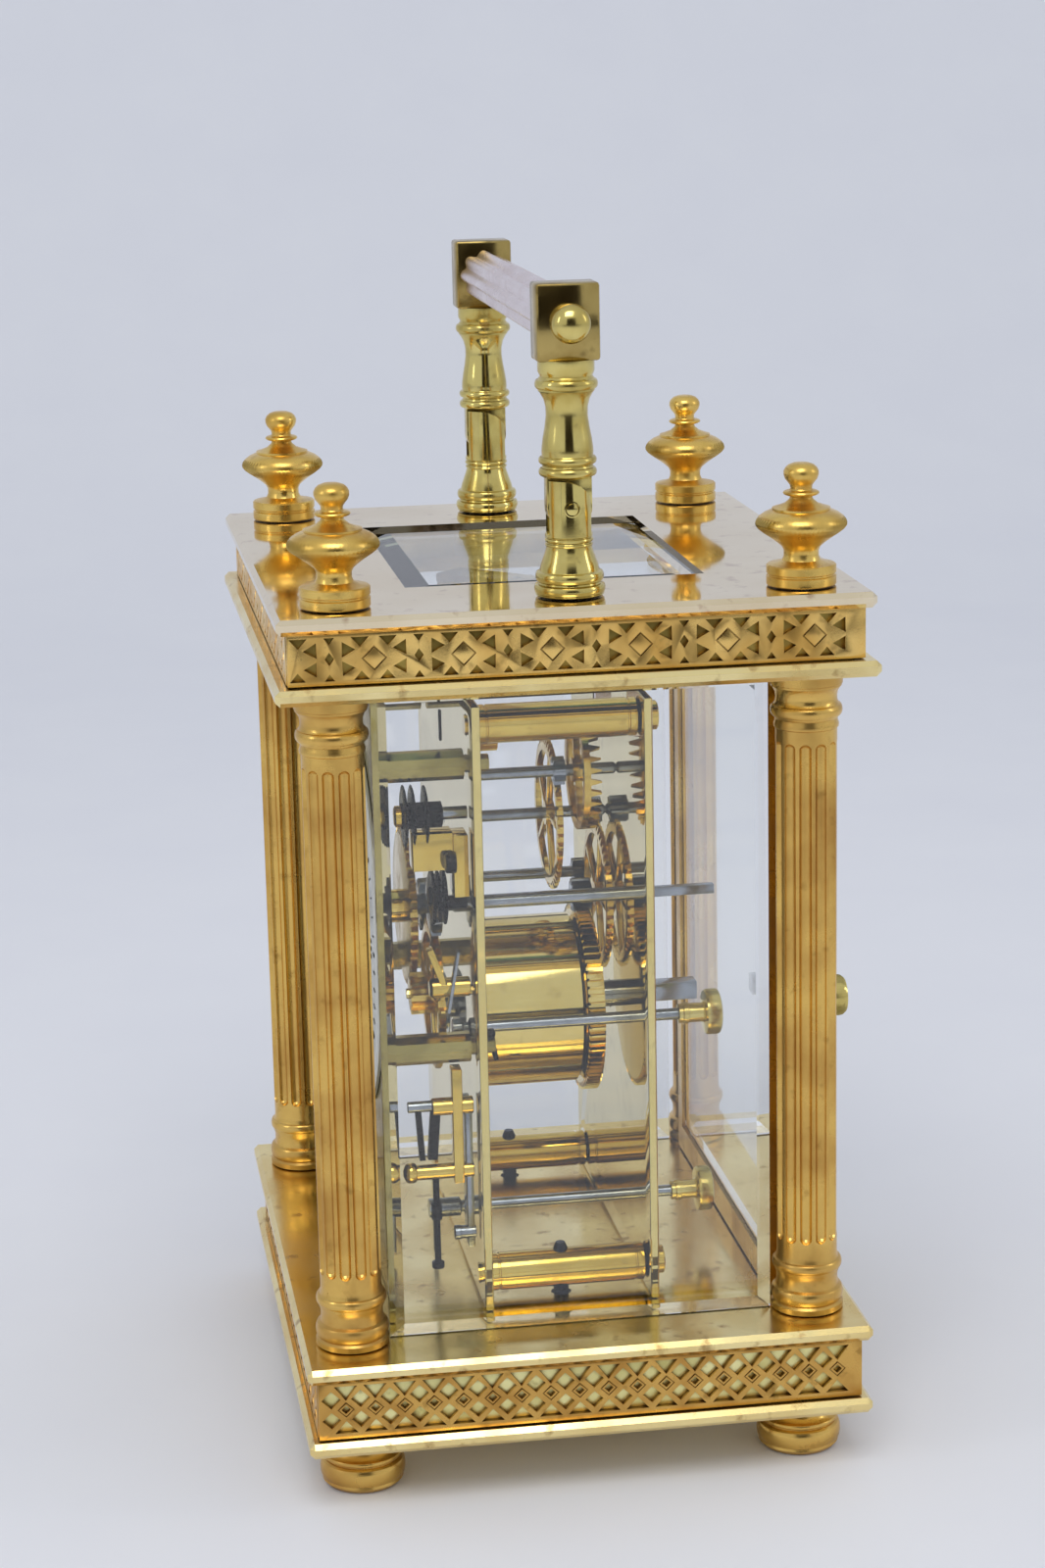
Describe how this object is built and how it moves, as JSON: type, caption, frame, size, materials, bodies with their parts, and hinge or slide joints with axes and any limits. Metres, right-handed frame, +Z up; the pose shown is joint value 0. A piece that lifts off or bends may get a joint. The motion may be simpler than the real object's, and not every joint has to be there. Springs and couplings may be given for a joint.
{
  "type": "travel clock",
  "caption": "Travel clock with fluted corner columns between moulded plates, pierced frets, bevelled glass sides, a hinged back door, a folding handle and an open gear movement.",
  "frame": {"origin": "on the ground, midway between the four feet, under the middle of the case", "axes": "+X to the right as seen from the dial, -Y towards the dial side, +Y towards the door, +Z up"},
  "size_m": [0.1006, 0.086, 0.1773],
  "materials": {
    "gilt_brass": "satin gilt over brass",
    "polished_brass": "polished and lacquered",
    "fret_brass": "satin, pierced and engraved",
    "steel": "polished",
    "blued_steel": "blued by heat",
    "glass": "clear, bevelled",
    "enamel": "fired enamel, glossy",
    "silvered_brass": "silvered, satin"
  },
  "bodies": {
    "case": {"foot_front_left": "gilt_brass", "foot_back_left": "gilt_brass", "foot_front_right": "gilt_brass", "foot_back_right": "gilt_brass", "base_tray": "gilt_brass", "base_fret": "fret_brass", "base_top_plate": "polished_brass", "column_front_left": "gilt_brass", "column_back_left": "gilt_brass", "column_front_right": "gilt_brass", "column_back_right": "gilt_brass", "entablature_tray": "polished_brass", "top_fret": "fret_brass", "top_plate": "polished_brass", "top_glass": "glass", "finial_front_left": "gilt_brass", "finial_back_left": "gilt_brass", "finial_front_right": "gilt_brass", "finial_back_right": "gilt_brass", "handle_post_left": "polished_brass", "handle_post_right": "polished_brass", "front_glass": "glass", "left_glass": "glass", "right_glass": "glass", "front_plate": "polished_brass", "back_plate": "polished_brass", "pillar_lower_left": "polished_brass", "pillar_upper_left": "polished_brass", "pillar_lower_right": "polished_brass", "pillar_upper_right": "polished_brass", "movement_screw_left": "blued_steel", "movement_screw_right": "blued_steel", "dial_plate": "polished_brass", "dial": "enamel", "platform": "silvered_brass", "balance_cock": "polished_brass"},
    "handle": {"handle_upright_left": "polished_brass", "handle_upright_right": "polished_brass", "handle_bar": "silvered_brass"},
    "door": {"door_frame": "gilt_brass", "door_glass": "glass", "door_knob": "gilt_brass"},
    "barrel": {"barrel": "polished_brass"},
    "winding": {"winding_arbor": "steel"},
    "centre": {"centre_arbor": "polished_brass"},
    "third": {"third_arbor": "polished_brass"},
    "contrate": {"contrate_arbor": "polished_brass"},
    "idler": {"idler_arbor": "steel"},
    "escape": {"escape_wheel": "polished_brass"},
    "lever": {"pallet_lever": "steel"},
    "balance": {"balance": "polished_brass"},
    "cannon": {"cannon_pinion": "steel", "minute_hand": "blued_steel"},
    "minute_work": {"minute_wheel": "polished_brass"},
    "hour": {"hour_wheel": "polished_brass", "hour_hand": "blued_steel"},
    "setting": {"setting_arbor": "steel"},
    "alarm": {"alarm_arbor": "steel"},
    "stop": {"stop_arbor": "steel"}
  },
  "joints": [
    {"name": "handle_fold", "type": "hinge", "parent": "case", "child": "handle", "pos_m": [0, 0, 0.1459], "axis": [-1, 0, 0], "range_deg": [0, 70]},
    {"name": "door_swing", "type": "hinge", "parent": "case", "child": "door", "pos_m": [-0.0324, 0.0309, 0.0229], "axis": [0, 0, 1], "range_deg": [0, 90]},
    {"name": "contrate_spin", "type": "hinge", "parent": "case", "child": "contrate", "pos_m": [0.0082, 0, 0.1003], "axis": [0, -1, 0], "continuous": true},
    {"name": "third_spin", "type": "hinge", "parent": "case", "child": "third", "pos_m": [-0.00184, 0, 0.09127], "axis": [0, -1, 0], "continuous": true},
    {"name": "centre_spin", "type": "hinge", "parent": "case", "child": "centre", "pos_m": [0, 0, 0.0782], "axis": [0, -1, 0], "continuous": true},
    {"name": "barrel_spin", "type": "hinge", "parent": "case", "child": "barrel", "pos_m": [0, 0, 0.0617], "axis": [0, -1, 0], "continuous": true},
    {"name": "idler_spin", "type": "hinge", "parent": "case", "child": "idler", "pos_m": [-0.0132, 0, 0.07843], "axis": [0, -1, 0], "continuous": true},
    {"name": "escape_spin", "type": "hinge", "parent": "case", "child": "escape", "pos_m": [0.0082, 0.00903, 0.1175], "axis": [0, 0, 1], "continuous": true},
    {"name": "lever_swing", "type": "hinge", "parent": "case", "child": "lever", "pos_m": [0.00458, 0.00529, 0.1175], "axis": [0, 0, 1], "range_deg": [-5, 5]},
    {"name": "balance_swing", "type": "hinge", "parent": "case", "child": "balance", "pos_m": [-0.00153, -0.00104, 0.1175], "axis": [0, 0, 1], "range_deg": [-150, 150]},
    {"name": "hand_set", "type": "hinge", "parent": "case", "child": "cannon", "pos_m": [0, 0, 0.0782], "axis": [0, -1, 0], "continuous": true},
    {"name": "minute_work_spin", "type": "hinge", "parent": "case", "child": "minute_work", "pos_m": [0.00974, 0, 0.06679], "axis": [0, -1, 0], "continuous": true},
    {"name": "hour_spin", "type": "hinge", "parent": "case", "child": "hour", "pos_m": [0, 0, 0.0782], "axis": [0, -1, 0], "continuous": true},
    {"name": "setting_spin", "type": "hinge", "parent": "case", "child": "setting", "pos_m": [0.01394, 0, 0.08184], "axis": [0, -1, 0], "continuous": true},
    {"name": "winding_spin", "type": "hinge", "parent": "case", "child": "winding", "pos_m": [0, 0, 0.0617], "axis": [0, -1, 0], "continuous": true},
    {"name": "alarm_spin", "type": "hinge", "parent": "case", "child": "alarm", "pos_m": [0.017, 0, 0.063], "axis": [0, -1, 0], "continuous": true},
    {"name": "stop_turn", "type": "hinge", "parent": "case", "child": "stop", "pos_m": [0.0095, 0, 0.0315], "axis": [0, -1, 0], "range_deg": [-30, 30]}
  ],
  "couplings": [
    {"joint": "third_spin", "follows": "contrate_spin", "ratio": -0.16667},
    {"joint": "centre_spin", "follows": "contrate_spin", "ratio": 0.027778},
    {"joint": "idler_spin", "follows": "contrate_spin", "ratio": -0.16667},
    {"joint": "barrel_spin", "follows": "contrate_spin", "ratio": -0.0046296},
    {"joint": "escape_spin", "follows": "contrate_spin", "ratio": -5.3333},
    {"joint": "minute_work_spin", "follows": "hand_set", "ratio": -0.33333},
    {"joint": "hour_spin", "follows": "hand_set", "ratio": 0.083333},
    {"joint": "setting_spin", "follows": "hand_set", "ratio": 0.85714}
  ]
}
